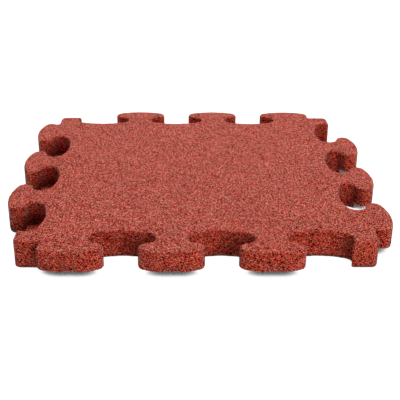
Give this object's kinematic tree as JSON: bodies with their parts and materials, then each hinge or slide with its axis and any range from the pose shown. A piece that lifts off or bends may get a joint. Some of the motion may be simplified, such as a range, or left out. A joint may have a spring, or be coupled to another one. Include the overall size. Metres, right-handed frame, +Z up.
{
  "type": "interlocking rubber safety tile",
  "caption": "Thick square rubber granule tile whose four sides carry mushroom tabs and matching sockets that lock into neighbouring tiles.",
  "frame": {"origin": "middle of the tile, on the plane of its underside", "axes": "+Z up through the thickness towards the wearing face; +X and +Y parallel to the sides"},
  "size_m": [0.5634, 0.5634, 0.04],
  "materials": {
    "red_rubber": "matte bonded granules"
  },
  "bodies": {
    "root": {"rubber_tile": "red_rubber"}
  },
  "joints": []
}
